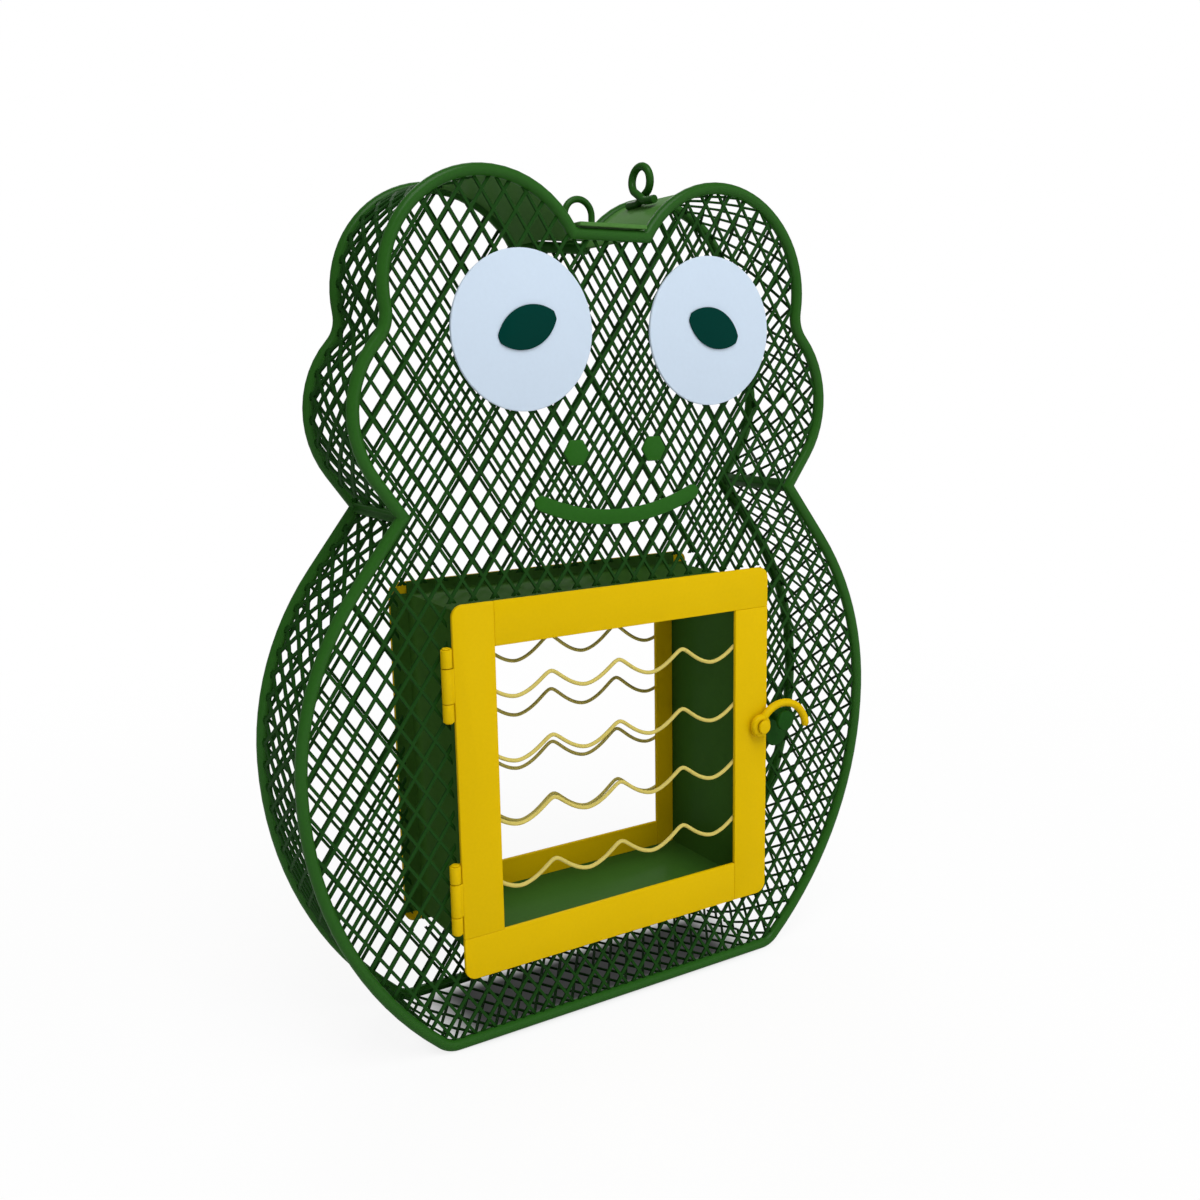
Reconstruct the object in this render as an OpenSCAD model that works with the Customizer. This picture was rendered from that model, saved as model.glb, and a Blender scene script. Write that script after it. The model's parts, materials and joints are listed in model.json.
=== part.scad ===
// Frog bird feeder: a flat mesh body with a suet box behind a hinged door in the belly.
// Millimetres. The front faces -Y, +Z is up, and the body stands on z = 0.
// x = 0 is the middle of the face and y = 0 the centre plane of the front rim.

/* [Body outline] */
// Depth between the centre planes of the front and back rims
body_depth = 41; // [37:0.5:52]
// Height of the rim's centre line in the valley between the eye bumps
valley_z = 272; // [266:0.5:278]
// Distance of each eye bump's centre from the middle
bump_x = 45; // [43:0.5:48]
// Height of each eye bump's centre
bump_z = 254; // [250:0.5:258]
// Radius of each eye bump to the rim's centre line
bump_r = 35.5; // [33:0.5:38]
// Radius of the hollow between an eye bump and its cheek
waist_r = 12; // [8:0.5:16]
// Distance of each cheek's centre from the middle
cheek_x = 58.5; // [56:0.5:61]
// Height of each cheek's centre
cheek_z = 215.5; // [212:0.5:219]
// Radius of each cheek
cheek_r = 33.5; // [31:0.5:35.5]
// How far the sharp neck notch lies outside the belly and the cheek at its height
notch_out = 6; // [3:0.5:9]
// Height of the sharp neck notch
notch_z = 184.5; // [181:0.5:187]
// Half of the belly's greatest width, to the rim's centre line
belly_half = 115; // [108:0.5:124]
// Height at which the belly is widest
belly_z = 101.5; // [94:0.5:108]
// Radius of the belly's sides above its widest place
belly_upper_r = 101; // [95:0.5:106]
// Radius of the belly's sides below its widest place
belly_lower_r = 132; // [124:0.5:150]
// Radius of the two bottom corners
corner_r = 9.5; // [6:0.5:14]

/* [Wire, mesh and sheet] */
// Diameter of the rim wires
rim_d = 4; // [3.6:0.1:5]
// Thickness of the expanded mesh
mesh_t = 1.2; // [0.9:0.1:1.4]
// Width of one diamond of the mesh, strand centre to strand centre
cell_w = 19.5; // [16:0.1:26]
// Height of one diamond of the mesh, strand centre to strand centre
cell_h = 28.8; // [22:0.1:36]
// Width of a mesh strand
strand_w = 2.4; // [1.6:0.1:3]
// Width of the uncut edge of a mesh panel
selvage = 1; // [0.8:0.1:2]
// Thickness of the plain sheet on the head
sheet_t = 0.8; // [0.6:0.1:1.2]
// Thickness of the neck strips
neck_t = 1.6; // [1:0.1:1.6]
// Half of the height of a neck strip, along the outline
neck_half = 2.5; // [2:0.1:4]
// Angle on the bump, from +X, at which the plain sheet ends and the mesh band starts
sheet_end_angle = 110; // [100:1:115]

/* [Face] */
// Distance between the centres of the eyes
eye_spread = 74; // [68:0.2:80]
// How far the pair of eyes sits to the right of the middle
eye_shift = 2.8; // [-4:0.2:4]
// Height of the eyes' centres
eye_z = 241.2; // [236:0.2:246]
// Diameter of the eye discs
eye_d = 51; // [46:0.5:56]
// Thickness of the eye discs, nostrils and mouth
face_t = 1.2; // [0.8:0.1:1.6]
// Length of a pupil, tip to tip before the tips are blunted
pupil_len = 23.5; // [20:0.5:28]
// Greatest thickness of a pupil's lens shape
pupil_h = 13.5; // [12:0.5:18]
// Tilt of the pupils, inner tip up
pupil_tilt = 21; // [0:1:35]
// How far the pupils sit to the right of the eyes' centres
pupil_shift = 1.2; // [-3:0.2:3]
// Height of a pupil's centre above the eye's centre
pupil_raise = 1; // [-3:0.5:4]
// How much of each pupil's tip is cut off
pupil_blunt = 0.8; // [0.3:0.1:2]
// Thickness of the pupil plates
pupil_t = 0.6; // [0.4:0.1:1]
// Distance between the nostrils' centres
nostril_spread = 31; // [26:0.5:36]
// Height of the nostrils
nostril_z = 201.5; // [198:0.5:205]
// Width of a hexagonal nostril across its corners
nostril_d = 9.8; // [7:0.1:12]
// Half of the distance between the ends of the mouth
mouth_half = 30.5; // [26:0.5:40]
// How far the mouth sits to the right of the middle
mouth_shift = 1.4; // [-4:0.2:4]
// Height of the mouth's centre line at its ends
mouth_end_z = 185.5; // [184:0.5:189]
// How far the mouth dips in its middle
mouth_dip = 6.5; // [4:0.5:9]
// Width of the mouth strip
mouth_w = 5.2; // [3:0.2:6]

/* [Suet box and frames] */
// Outer width and height of the door and of the back frame
frame_size = 129; // [125:0.5:134]
// Height of the lower edge of both frames
frame_bottom = 26.6; // [22:0.2:30]
// Width of a frame's flat bars
bar_w = 15; // [12:0.5:20]
// Thickness of the flat bars
bar_t = 1.5; // [1.2:0.1:2.5]
// Radius of a frame's outer corners
frame_corner_r = 4; // [2:0.5:8]
// How far a frame reaches past the box at each side
lap_side = 6.4; // [5:0.2:9]
// How far a frame reaches past the box at the top
lap_top = 4.2; // [3:0.2:8]
// How far a frame reaches past the box at the bottom
lap_bottom = 4.2; // [3:0.2:8]
// Thickness of the box's sheet
box_t = 0.8; // [0.6:0.1:1.2]
// How far the box stands out in front of the front rim's centre plane
box_front = 2.7; // [2.4:0.1:5]
// How far the box stands out behind the back rim's centre plane
box_back = 7; // [2.5:0.1:9]
// Gap between the closed door and the box
door_gap = 0.3; // [0.2:0.05:1]

/* [Wavy wires] */
// Diameter of the wavy wires
wave_d = 1.4; // [1.2:0.1:2.4]
// Length of one of the door's waves
door_pitch = 27.2; // [22:0.2:34]
// Height of the door's waves from trough to peak
door_wave_h = 6.6; // [3:0.1:9]
// Distance of the door's wave peak nearest the middle from the middle
door_shift = -0.6; // [-6:0.2:6]
// Height of the door's lowest troughs above the frame's opening
door_first = 13.2; // [8:0.2:20]
// Distance from the door's highest troughs to the top of the frame's opening
door_last = 18.5; // [12:0.1:24]
// Length of one of the back frame's waves
back_pitch = 30.2; // [22:0.2:34]
// Height of the back frame's waves from trough to peak
back_wave_h = 8; // [3:0.1:9]
// Distance of the back frame's wave peak nearest the middle from the middle
back_shift = 1; // [-6:0.2:6]
// Height of the back frame's lowest troughs above its opening
back_first = 13.8; // [8:0.2:20]
// Distance from the back frame's highest troughs to the top of its opening
back_last = 20.8; // [12:0.1:24]

/* [Door hinges] */
// Outer diameter of the hinge barrels
barrel_d = 3.8; // [3.6:0.1:5.4]
// Diameter of the hinge pins
hinge_pin_d = 1.8; // [1.6:0.1:2]
// Radial running clearance of pins in their bores
run_gap = 0.05; // [0.02:0.01:0.1]
// Length of each of a hinge's two outer knuckles
knuckle_end = 6; // [4:0.2:8]
// Length of a hinge's middle knuckle
knuckle_mid = 11.4; // [8:0.2:16]
// Gap between neighbouring knuckles
knuckle_gap = 0.3; // [0.2:0.05:0.6]
// Distance from the door's top edge to the middle of the upper hinge
hinge_from_top = 26; // [20:0.5:40]
// Distance from the door's bottom edge to the middle of the lower hinge
hinge_from_bottom = 29.5; // [20:0.5:40]
// Thickness of the hinge leaves
leaf_t = 0.9; // [0.8:0.1:1.2]
// How far a hinge leaf reaches back along the box
leaf_len = 8; // [5:0.5:12]
// Diameter of the heads at the ends of the hinge pins
pin_head_d = 2.8; // [2.4:0.1:3.4]
// Thickness of the heads at the ends of the hinge pins
pin_head_t = 0.5; // [0.4:0.1:1]

/* [Latch] */
// Distance of the latch's pivot from the door's free edge
latch_from_edge = 4.5; // [3.5:0.1:7.5]
// Height of the latch's pivot above the door's lower edge
latch_height = 68.7; // [60:0.1:75]
// Distance from the pivot to the hook's tip
hook_reach = 22.2; // [21:0.1:24]
// Distance from the pivot to the top of the hook's arch
arch_top = 10.7; // [10:0.1:12]
// Height of the hook's arch above its pivot
arch_rise = 7.2; // [6.8:0.1:9]
// How far the hook's tip reaches below its pivot
tip_drop = 2.4; // [0:0.1:4]
// Diameter of the hook's wire
hook_d = 3; // [2:0.1:3]
// Diameter of the pivot rivet's shank
rivet_d = 2.6; // [2.2:0.1:2.8]
// Diameter of the pivot rivet's head
rivet_head_d = 5.2; // [4.8:0.1:6]
// Thickness of the pivot rivet's head
rivet_head_t = 1.1; // [0.8:0.1:1.6]
// Gap between the hook and the parts that it turns beside
hook_gap = 0.4; // [0.3:0.05:0.6]
// Distance from the hook's pivot to the catch's stud
stud_reach = 9.7; // [9.2:0.1:10.2]
// Height of the catch's stud above the hook's pivot
stud_raise = 1; // [0.4:0.1:1.4]
// Diameter of the stud's shank
stud_d = 2.6; // [2:0.1:2.8]
// Diameter of the stud's head
stud_head_d = 7.6; // [6:0.1:7.8]
// Thickness of the stud's head
stud_head_t = 1.6; // [1:0.1:2.4]
// Width of the catch's foot plate
foot_w = 10; // [7:0.5:11]
// Height of the catch's foot plate
foot_h = 16; // [12:0.5:20]
// Distance from the stud to the foot plate's middle
foot_offset = 1.8; // [0:0.1:3]
// Distance from the foot plate's lower end up to the stud
foot_below = 12.2; // [8:0.1:14]

/* [Lid] */
// Thickness of the lid
lid_t = 1.2; // [1:0.1:2]
// Gap between the closed lid and the rims
lid_gap = 0.3; // [0.2:0.05:0.6]
// Gap between the lid and the bumps beside it
lid_side_gap = 0.2; // [0.2:0.05:1]
// How far the lid reaches out over the front rim, from the rim's centre plane
lid_front = 2.5; // [1:0.1:3]
// Height of the lid's hinge axis above the top of the rims
lid_axis_h = 2.4; // [2.35:0.05:3]
// Outer diameter of the lid's hinge barrel
lid_barrel_d = 4; // [3.6:0.1:4.2]
// Diameter of the lid's hinge pin
lid_pin_d = 1.8; // [1.5:0.1:2]
// Diameter of the heads at the ends of the lid's hinge pin
lid_pin_head_d = 3; // [2.6:0.1:3.6]
// Gap between the lid's back edge and the hinge barrel
lid_back_gap = 0.4; // [0.3:0.1:1]
// Length of the lid's own knuckle
lid_knuckle = 10; // [6:0.5:13]
// Length of each knuckle on the back rim
lid_end_knuckle = 5; // [3:0.5:5.5]
// Outer width of the pull ring
pull_w = 13; // [10:0.5:16]
// Height of the pull ring above the lid
pull_h = 11.6; // [8:0.2:16]
// Diameter of the pull ring's wire
pull_wire_d = 2.3; // [1.8:0.1:2.8]

/* [Hangers] */
// Angle on the right bump, from +X, at which the hanger stands
hanger_angle = 120.5; // [112:0.5:125]
// Radius of the hanger's loop to the centre of its wire
loop_r = 4.6; // [4.2:0.1:7]
// Diameter of the hanger's wire
loop_wire_d = 3.1; // [2.6:0.1:3.4]
// Length of the hanger's foot along the depth of the body
hanger_foot = 23; // [16:0.5:34]
// Height of the loop's lowest wire above the foot
hanger_neck = 3; // [2.5:0.1:5]

/* [Hidden] */
$fn = 64;

mesh_green = [0.08, 0.25, 0.08];
rim_green = [0.17, 0.4, 0.13];
face_green = [0.15, 0.39, 0.11];
box_green = [0.09, 0.22, 0.09];
eye_white = [0.81, 0.87, 0.94];
pupil_teal = [0, 0.2, 0.17];
frame_yellow = [0.83, 0.69, 0.04];
wire_yellow = [0.82, 0.76, 0.45];

rim_r = rim_d / 2;
rim_sides = 8;

// How far a cut through the wall's mesh reaches to each side of its middle
wall_cut = 4;

// Counts of straight pieces that stand for each arc of the outline
flank_n = 5;
bump_n = 12;
waist_n = 4;
cheek_n = 7;
upper_n = 5;
lower_n = 7;
bottom_corner_n = 4;

// Places in the half outline where one piece of the wall ends and the next begins
corner_i = 1;
sheet_end_i = corner_i + flank_n;
neck_start_i = sheet_end_i + bump_n + waist_n + cheek_n + 1;
neck_end_i = neck_start_i + 2;
floor_i = neck_end_i + 1 + upper_n + lower_n + bottom_corner_n;

// Centre of the hollow that touches both the eye bump and the cheek
waist_from_bump = bump_r + waist_r;
waist_from_cheek = cheek_r + waist_r;
bump_to_cheek = norm([cheek_x - bump_x, cheek_z - bump_z]);
bump_cheek_dir = [cheek_x - bump_x, cheek_z - bump_z] / bump_to_cheek;
waist_along = (pow(waist_from_bump, 2) - pow(waist_from_cheek, 2) + pow(bump_to_cheek, 2))
    / (2 * bump_to_cheek);
waist_out = sqrt(pow(waist_from_bump, 2) - pow(waist_along, 2));
waist_c = [bump_x, bump_z] + waist_along * bump_cheek_dir
    + waist_out * [-bump_cheek_dir[1], bump_cheek_dir[0]];
bump_end_a = atan2(waist_c[1] - bump_z, waist_c[0] - bump_x);
cheek_start_a = atan2(waist_c[1] - cheek_z, waist_c[0] - cheek_x);

// The straight lines that meet in the notch touch the cheek and the upper belly
upper_x = belly_half - belly_upper_r;
lower_x = belly_half - belly_lower_r;
notch_on_belly = upper_x + sqrt(max(0, pow(belly_upper_r, 2) - pow(notch_z - belly_z, 2)));
notch_on_cheek = cheek_x + sqrt(max(0, pow(cheek_r, 2) - pow(notch_z - cheek_z, 2)));
notch_x = max(notch_on_belly, notch_on_cheek) + notch_out;
cheek_end_a = atan2(notch_z - cheek_z, notch_x - cheek_x)
    + acos(cheek_r / norm([notch_x - cheek_x, notch_z - cheek_z]));
upper_start_a = atan2(notch_z - belly_z, notch_x - upper_x)
    - acos(belly_upper_r / norm([notch_x - upper_x, notch_z - belly_z]));

// The bottom corner touches the lower belly and the bottom line
floor_z = rim_r;
corner_z = floor_z + corner_r;
corner_x = lower_x + sqrt(pow(belly_lower_r - corner_r, 2) - pow(belly_z - corner_z, 2));
corner_start_a = atan2(corner_z - belly_z, corner_x - lower_x);

// The outline's corner beside the valley, for an outline moved out by d
function valley_a(d) = 180 - asin((valley_z + d - bump_z) / (bump_r + d));
function valley_x(d) = bump_x + (bump_r + d) * cos(valley_a(d));

function arc(c, r, a0, a1, n, first = 0) =
    [for (i = [first:n]) let (a = a0 + (a1 - a0) * i / n) c + r * [cos(a), sin(a)]];

// The notch's corner and the two ends of the neck strip, for an outline moved out by d
function neck_points(d) =
    let (n1 = [cos(cheek_end_a), sin(cheek_end_a)], n2 = [cos(upper_start_a), sin(upper_start_a)])
    let (t1 = [n1[1], -n1[0]], t2 = [n2[1], -n2[0]], notch = [notch_x, notch_z])
    [
        notch - neck_half * t1 + d * n1,
        notch + d * (n1 + n2) / (1 + n1 * n2),
        notch + neck_half * t2 + d * n2
    ];

// Right half of the body's outline, from the top middle to the bottom middle, moved out by d
function half_outline(d) = concat(
    [[0, valley_z + d]],
    arc([bump_x, bump_z], bump_r + d, valley_a(d), sheet_end_angle, flank_n),
    arc([bump_x, bump_z], bump_r + d, sheet_end_angle, bump_end_a, bump_n, 1),
    arc(waist_c, waist_r - d, bump_end_a + 180, cheek_start_a + 180, waist_n, 1),
    arc([cheek_x, cheek_z], cheek_r + d, cheek_start_a, cheek_end_a, cheek_n, 1),
    neck_points(d),
    arc([upper_x, belly_z], belly_upper_r + d, upper_start_a, 0, upper_n),
    arc([lower_x, belly_z], belly_lower_r + d, 0, corner_start_a, lower_n, 1),
    arc([corner_x, corner_z], corner_r + d, corner_start_a, -90, bottom_corner_n, 1),
    [[0, floor_z - d]]
);

function outline(d) =
    let (h = half_outline(d), last = len(h) - 1)
    concat(h, [for (i = [last - 1:-1:1]) [-h[i][0], h[i][1]]]);

// Whether a point of the face lies inside the body's outline drawn in by m
function in_belly(x, z, m) =
    let (up = z > belly_z, r = up ? belly_upper_r : belly_lower_r)
    z > floor_z + m && z < notch_z && abs(z - belly_z) < r
    && x < belly_half - r + sqrt(pow(r, 2) - pow(z - belly_z, 2)) - m;
function in_body(x, z, m) =
    let (a = abs(x))
    (a < bump_x && z >= notch_z && z < valley_z - m)
    || norm([a - bump_x, z - bump_z]) < bump_r - m
    || norm([a - cheek_x, z - cheek_z]) < cheek_r - m
    || in_belly(a, z, m);

// Suet box, seen from the front
frame_half = frame_size / 2;
frame_top = frame_bottom + frame_size;
open_half = frame_half - bar_w;
open_bottom = frame_bottom + bar_w;
open_top = frame_top - bar_w;
box_half = frame_half - lap_side;
box_bottom = frame_bottom + lap_bottom;
box_top = frame_top - lap_top;
box_y0 = -box_front;
box_y1 = body_depth + box_back;
back_frame_y1 = box_y1 + bar_t;
door_y1 = box_y0 - door_gap;
door_y0 = door_y1 - bar_t;
face_y0 = -mesh_t / 2 - face_t;

// A frame's waves: length, height, place of the middle peak, height of the lowest troughs, step between wires
door_waves = waves(door_pitch, door_wave_h, door_shift, door_first, door_last);
back_waves = waves(back_pitch, back_wave_h, back_shift, back_first, back_last);
function waves(pitch, height, shift, first, last) =
    [pitch, height, shift, open_bottom + first, (open_top - open_bottom - first - last) / 3];

// The wires end on the backs of the side bars, three quarters of the way to the box's walls
wire_half = open_half + 0.75 * (box_half - box_t - open_half);

// Door hinges
hinge_gap = 0.3;
barrel_r = barrel_d / 2;
hinge_x = -frame_half - barrel_r;
hinge_y = min(door_y1 - 0.2, -mesh_t / 2 - hinge_gap - barrel_r);
hinge_len = 2 * knuckle_end + knuckle_mid + 2 * knuckle_gap;
upper_hinge_z = frame_top - hinge_from_top;
lower_hinge_z = frame_bottom + hinge_from_bottom;
web_y0 = door_y1 + hinge_gap;

// Latch
hook_r = hook_d / 2;
hook_tip_r = hook_r + 0.05;
latch_x = frame_half - latch_from_edge;
latch_z = frame_bottom + latch_height;
hook_eye_r = rivet_d / 2 + run_gap + hook_r;
hook_y = door_y0 - hook_gap - hook_r;
rivet_head_y = hook_y - hook_r - hook_gap;
arch_run = hook_reach - arch_top;
arch_r = (pow(arch_run, 2) + pow(arch_rise + tip_drop, 2)) / (2 * (arch_rise + tip_drop));
arch_z = arch_rise - arch_r;
arch_to_pivot = norm([arch_top, arch_z]);
arch_start_a = atan2(-arch_z, -arch_top) - acos(
    (pow(arch_r, 2) + pow(arch_to_pivot, 2) - pow(hook_eye_r, 2)) / (2 * arch_r * arch_to_pivot));
arch_end_a = atan2(-tip_drop - arch_z, arch_run);
stud_x = latch_x + stud_reach;
stud_z = latch_z + stud_raise;
foot_x = stud_x + foot_offset;
foot_low = stud_z - foot_below;

// Lid
rim_top = valley_z + rim_r;
lid_z = rim_top + lid_gap;
lid_half = valley_x(rim_r + lid_gap) - lid_side_gap;
lid_axis_z = rim_top + lid_axis_h;
lid_barrel_r = lid_barrel_d / 2;
lid_back = body_depth - lid_barrel_r - lid_back_gap;
lid_hinge_len = lid_knuckle + 2 * lid_end_knuckle + 2 * knuckle_gap;
pull_y = body_depth / 2;

// Hangers
hanger_foot_r = bump_r + sheet_t / 2 + loop_wire_d / 2;
hanger_x = bump_x + hanger_foot_r * cos(hanger_angle);
hanger_z = bump_z + hanger_foot_r * sin(hanger_angle);

// A shape drawn in the face's plane, x and z, given a thickness from y0 towards the back
module upright(y0, thick) {
    translate([0, y0 + thick, 0]) rotate([90, 0, 0]) linear_extrude(thick) children();
}

// A rod along Y
module rod_y(x, y0, y1, z, r) {
    translate([x, y0, z]) rotate([-90, 0, 0]) cylinder(h = y1 - y0, r = r);
}

// A rod along X
module rod_x(x0, x1, y, z, r) {
    translate([x0, y, z]) rotate([0, 90, 0]) cylinder(h = x1 - x0, r = r);
}

module mirrored(side) {
    if (side < 0) mirror([1, 0, 0]) children();
    else children();
}

// Rim wire: an eight-sided section carried round the outline in the plane at y
module rim(y) {
    n = len(outline(0));
    corner = rim_r / cos(180 / rim_sides);
    section = [for (k = [0:rim_sides - 1]) let (a = (k + 0.5) * 360 / rim_sides) corner * [cos(a), sin(a)]];
    loops = [for (s = section) for (p = outline(s[0])) [p[0], y + s[1], p[1]]];
    sides = [for (k = [0:rim_sides - 1], i = [0:n - 1])
        let (k2 = (k + 1) % rim_sides, i2 = (i + 1) % n)
        for (f = [[k * n + i, k * n + i2, k2 * n + i2], [k * n + i, k2 * n + i2, k2 * n + i]]) f];
    polyhedron(points = loops, faces = sides);
}

// Strip of the body's wall between two places of the half outline, on both sides or one
module wall(from_i, to_i, thick, side) {
    outer = half_outline(thick / 2);
    inner = half_outline(-thick / 2);
    mirrored(side) upright(rim_r, body_depth - rim_d)
        polygon(concat([for (i = [from_i:to_i]) outer[i]], [for (i = [to_i:-1:from_i]) inner[i]]));
}

module diamond() {
    // The strand takes its width from all four sides of the cell
    a = cell_w / 2;
    b = cell_h / 2;
    k = 1 - strand_w / 2 * norm([a, b]) / (a * b);
    polygon([[a * k, 0], [0, b * k], [-a * k, 0], [0, -b * k]]);
}

// Diamonds of the face's mesh whose centres lie in the outline and outside the box's window
module face_diamonds() {
    columns = ceil((belly_half + cell_w) / cell_w);
    rows = ceil((bump_z + bump_r) / cell_h);
    for (i = [-2 * columns:2 * columns], j = [0:2 * rows]) {
        x = i * cell_w / 2;
        z = floor_z + j * cell_h / 2;
        in_window = abs(x) < box_half && z > box_bottom && z < box_top;
        if ((i + j) % 2 == 0 && in_body(x, z, -1) && !in_window) translate([x, z]) diamond();
    }
}

module window(margin) {
    translate([-box_half - margin, box_bottom - margin])
        square([2 * (box_half + margin), box_top - box_bottom + 2 * margin]);
}

// Mesh panel with the window for the suet box; notches let the hinge leaves through
module mesh_panel(y, hinge_notches) {
    upright(y - mesh_t / 2, mesh_t) difference() {
        polygon(outline(-rim_r));
        intersection() {
            face_diamonds();
            difference() {
                polygon(outline(-rim_r - selvage));
                window(2 * selvage);
            }
        }
        window(0);
        if (hinge_notches) for (z = [upper_hinge_z, lower_hinge_z])
            translate([-box_half - leaf_t, z - hinge_len / 2]) square([2 * leaf_t, hinge_len]);
    }
}

// Flat mesh under the body, between the rims
module bottom_net() {
    depth = body_depth - rim_d;
    rows = round(depth / cell_w);
    columns = floor((corner_x - selvage) / cell_h);
    translate([0, rim_r, floor_z - mesh_t / 2]) linear_extrude(mesh_t) difference() {
        translate([-corner_x, 0]) square([2 * corner_x, depth]);
        intersection() {
            for (i = [-2 * columns:2 * columns], j = [0:2 * rows])
                if ((i + j) % 2 == 0)
                    translate([i * cell_h / 2, depth / 2 + (j - rows) * cell_w / 2]) rotate(90) diamond();
            translate([selvage - corner_x, selvage])
                square([2 * (corner_x - selvage), depth - 2 * selvage]);
        }
    }
}

// Length of the half outline from one of its places to a later one
function run(path, i, j) = i >= j ? 0 : norm(path[i + 1] - path[i]) + run(path, i + 1, j);

// Point of the half outline at a distance from its place i, and the way's angle there
function along(path, i, dist) =
    let (step = path[i + 1] - path[i], size = norm(step))
    dist <= size || i + 2 == len(path)
        ? [path[i] + dist / size * step, atan2(step[1], step[0])]
        : along(path, i + 1, dist - size);

// Wall of expanded mesh: its diamonds lie along the outline and are cut square to it
module mesh_wall(from_i, to_i, side) {
    path = half_outline(0);
    length = run(path, from_i, to_i);
    depth = body_depth - rim_d;
    inside = [length, depth] - 2 * selvage * [1, 1];
    columns = max(1, round(length / cell_w));
    difference() {
        wall(from_i, to_i, mesh_t, side);
        for (i = [0:2 * columns], j = [-1:1]) if ((i + j) % 2 == 0) {
            middle = length / 2 + (i - columns) * cell_w / 2;
            spot = along(path, from_i, max(0, min(length, middle)));
            mirrored(side) translate([spot[0][0], rim_r, spot[0][1]]) rotate([0, -spot[1], 0])
                linear_extrude(2 * wall_cut, center = true) intersection() {
                    translate([0, depth / 2 + j * cell_h / 2]) diamond();
                    translate([selvage - middle, selvage]) square(inside);
                }
        }
    }
}

module head_sheet(side) {
    wall(corner_i, sheet_end_i, sheet_t, side);
}

module head_band(side) {
    mesh_wall(sheet_end_i, neck_start_i, side);
}

module neck_strip(side) {
    wall(neck_start_i, neck_end_i, neck_t, side);
}

module body_band(side) {
    mesh_wall(neck_end_i, floor_i, side);
}

// Wire loop that the feeder hangs from, on a foot that lies along the head's sheet
module hanger_right() {
    wire_r = loop_wire_d / 2;
    middle = body_depth / 2;
    loop_z = hanger_z + hanger_neck + loop_r;
    rod_y(hanger_x, middle - hanger_foot / 2, middle + hanger_foot / 2, hanger_z, wire_r);
    translate([hanger_x, middle, hanger_z]) cylinder(h = hanger_neck, r = wire_r);
    translate([hanger_x, middle, loop_z]) rotate([0, 90, 0])
        rotate_extrude() translate([loop_r, 0]) circle(wire_r);
}

module eye(side) {
    translate([eye_shift, 0, 0]) mirrored(side)
        rod_y(eye_spread / 2, face_y0, face_y0 + face_t, eye_z, eye_d / 2);
}

// Lens with blunted tips: two arcs meet at its ends, and a circle cuts them short
module pupil(side) {
    arc_r = (pow(pupil_len / 2, 2) + pow(pupil_h / 2, 2)) / pupil_h;
    translate([eye_shift + pupil_shift, 0, 0]) mirrored(side) upright(face_y0 - pupil_t, pupil_t)
        translate([eye_spread / 2, eye_z + pupil_raise]) rotate(-pupil_tilt) intersection() {
            translate([0, arc_r - pupil_h / 2]) circle(arc_r);
            translate([0, pupil_h / 2 - arc_r]) circle(arc_r);
            circle(pupil_len / 2 - pupil_blunt);
        }
}

module nostril(side) {
    mirrored(side) upright(face_y0, face_t)
        translate([nostril_spread / 2, nostril_z]) circle(nostril_d / 2, $fn = 6);
}

// Smiling strip with round ends
module mouth_strip() {
    arc_r = (pow(mouth_half, 2) + pow(mouth_dip, 2)) / (2 * mouth_dip);
    half_a = asin(mouth_half / arc_r);
    c = [0, mouth_end_z - mouth_dip + arc_r];
    translate([mouth_shift, 0, 0]) upright(face_y0, face_t) {
        polygon(concat(
            arc(c, arc_r + mouth_w / 2, -90 - half_a, -90 + half_a, 16),
            arc(c, arc_r - mouth_w / 2, -90 + half_a, -90 - half_a, 16)
        ));
        for (side = [-1, 1]) translate([side * mouth_half, mouth_end_z]) circle(mouth_w / 2);
    }
}

// Tunnel of folded sheet that holds the suet cake, with flaps turned out in front of the back frame
module box_tunnel() {
    upright(box_y0, box_y1 - box_y0) difference() {
        window(0);
        window(-box_t);
    }
    upright(box_y1 - box_t, box_t) difference() {
        union() {
            translate([-frame_half, box_bottom]) square([frame_size, box_top - box_bottom]);
            translate([-box_half, frame_bottom]) square([2 * box_half, frame_size]);
        }
        window(-box_t);
    }
}

module rounded_frame() {
    r = frame_corner_r;
    translate([-frame_half, frame_bottom + r]) square([frame_size, frame_size - 2 * r]);
    translate([r - frame_half, frame_bottom]) square([frame_size - 2 * r, frame_size]);
    for (x = [-1, 1], z = [frame_bottom + r, frame_top - r])
        translate([x * (frame_half - r), z]) circle(r);
}

// One of the four flat bars of a frame; each runs past its neighbour at one end
module frame_bar(place, y0) {
    upright(y0, bar_t) intersection() {
        rounded_frame();
        if (place == "left") translate([-frame_half, open_bottom]) square([bar_w, frame_size - bar_w]);
        if (place == "top") translate([-open_half, open_top]) square([frame_size - bar_w, bar_w]);
        if (place == "right") translate([open_half, frame_bottom]) square([bar_w, frame_size - bar_w]);
        if (place == "bottom") translate([-frame_half, frame_bottom]) square([frame_size - bar_w, bar_w]);
    }
}

// Height of a wavy wire above its troughs: round troughs and sharper peaks
function wave(x, form) =
    let (u = (x - form[2]) / form[0], near = abs(u - round(u)) * 2, soft = 0.14)
    let (q = (sqrt(near * near + soft * soft) - soft) / (sqrt(1 + soft * soft) - soft))
    form[1] * pow(1 - q, 1.8);

// How far a wavy wire's way leans at x
function lean(x, form) = atan2(wave(x + 1, form) - wave(x - 1, form), 2);

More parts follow.
